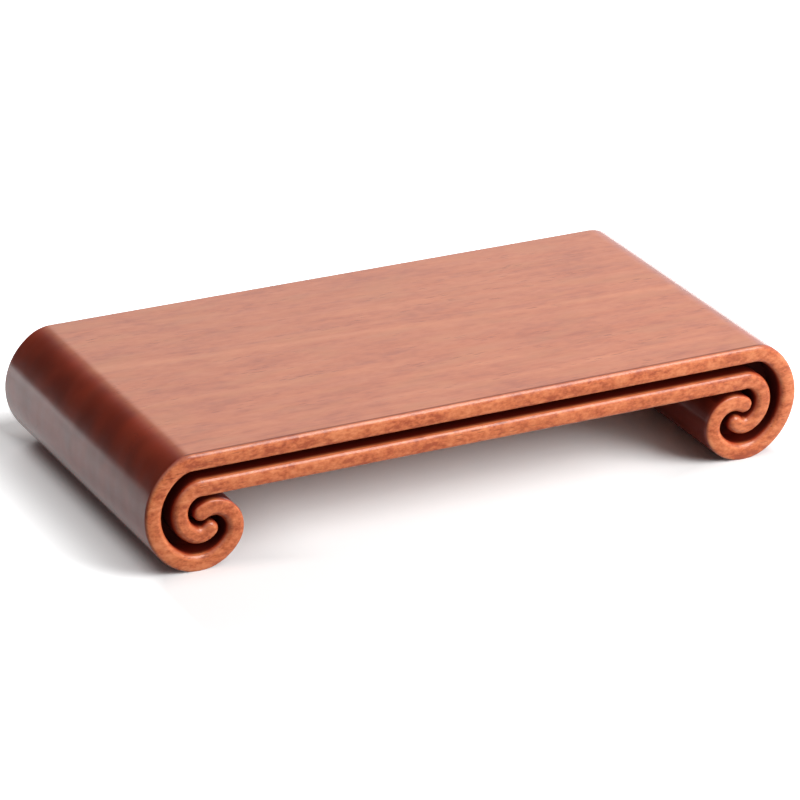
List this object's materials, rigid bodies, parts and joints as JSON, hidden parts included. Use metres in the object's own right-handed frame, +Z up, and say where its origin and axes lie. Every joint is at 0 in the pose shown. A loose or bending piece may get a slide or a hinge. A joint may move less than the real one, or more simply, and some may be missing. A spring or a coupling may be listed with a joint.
{
  "type": "display stand",
  "caption": "Low scroll-form hardwood stand for ornaments: a flat double deck whose two sheets roll down and inwards at both ends into interlocking spiral feet.",
  "frame": {"origin": "on the floor under the middle of the stand, at the centre of the two feet", "axes": "+X runs along the length to the right-hand scroll, +Y to the back, +Z up out of the display face"},
  "size_m": [0.3, 0.145, 0.0512],
  "materials": {
    "lacquered_rosewood": "red rosewood under a thin clear satin-gloss lacquer, with fine dark pores",
    "bare_rosewood": "stained red hardwood, planed, not polished",
    "bamboo": "split bamboo, rubbed smooth"
  },
  "bodies": {
    "root": {"upper_deck_board": "lacquered_rosewood", "lower_deck_board": "lacquered_rosewood", "left_scroll_end": "lacquered_rosewood", "right_scroll_end": "lacquered_rosewood", "front_core_rail": "bare_rosewood", "middle_core_rail": "bare_rosewood", "rear_core_rail": "bare_rosewood", "left_upper_tongue": "bare_rosewood", "left_lower_tongue": "bare_rosewood", "right_upper_tongue": "bare_rosewood", "right_lower_tongue": "bare_rosewood", "front_left_peg": "bamboo", "front_right_peg": "bamboo", "middle_left_peg": "bamboo", "middle_right_peg": "bamboo", "rear_left_peg": "bamboo", "rear_right_peg": "bamboo"}
  },
  "joints": []
}
